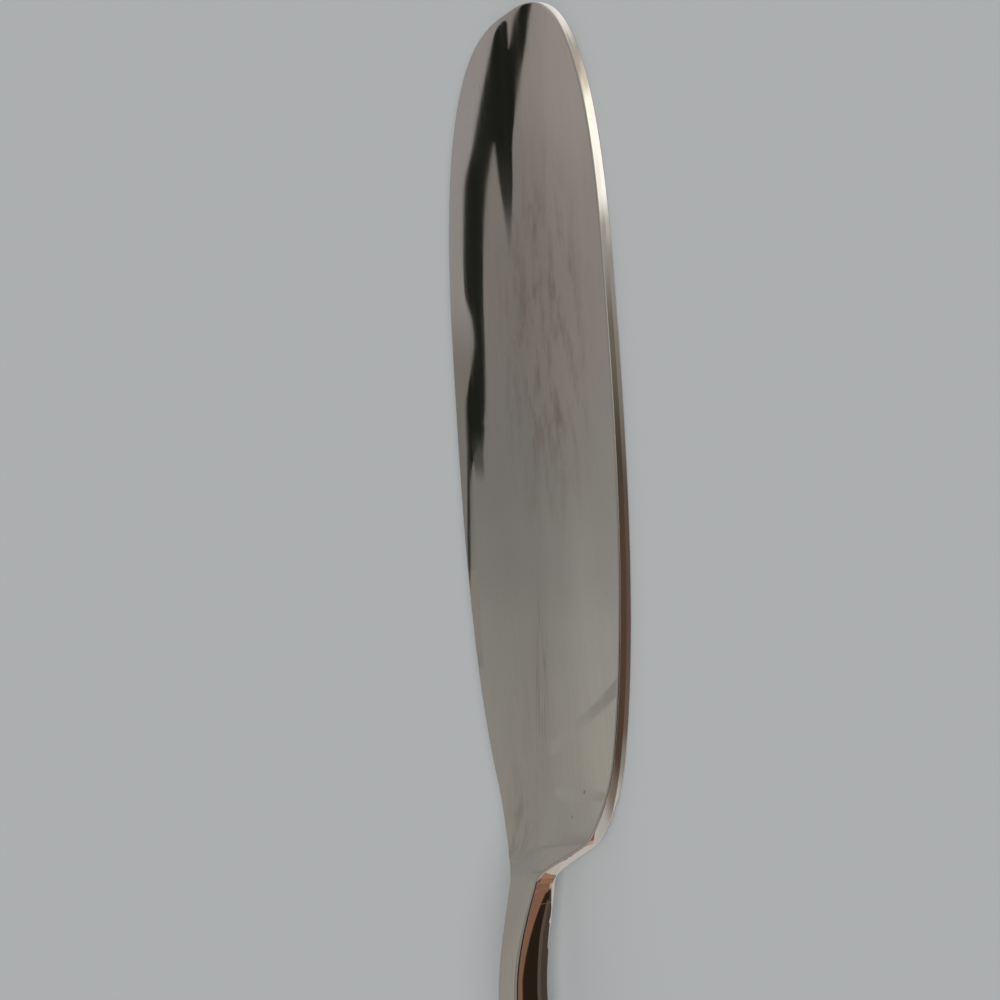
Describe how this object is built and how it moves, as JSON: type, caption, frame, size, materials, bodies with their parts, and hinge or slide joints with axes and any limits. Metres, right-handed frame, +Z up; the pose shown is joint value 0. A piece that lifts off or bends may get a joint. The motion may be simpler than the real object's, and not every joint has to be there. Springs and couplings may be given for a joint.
{
  "type": "cake server",
  "caption": "Silver-plated cake server with a long oval blade, a cranked forged neck and a hollow, cement-filled handle.",
  "frame": {"origin": "middle of the server's length and width, on the table it rests on", "axes": "+X along the server from the butt of the handle to the tip of the blade, +Y across the blade, +Z up from the table"},
  "size_m": [0.269, 0.047, 0.0148],
  "materials": {
    "silver_plate": "polished silver plate with fine lengthwise polishing lines, handling scratches and light toning",
    "silver_solder": "filed flush with the shells",
    "handle_cement": "set cement, not seen"
  },
  "bodies": {
    "root": {"blade": "silver_plate", "ferrule": "silver_plate", "handle_top_shell": "silver_plate", "handle_bottom_shell": "silver_plate", "seam_solder": "silver_solder", "cement_core": "handle_cement"}
  },
  "joints": []
}
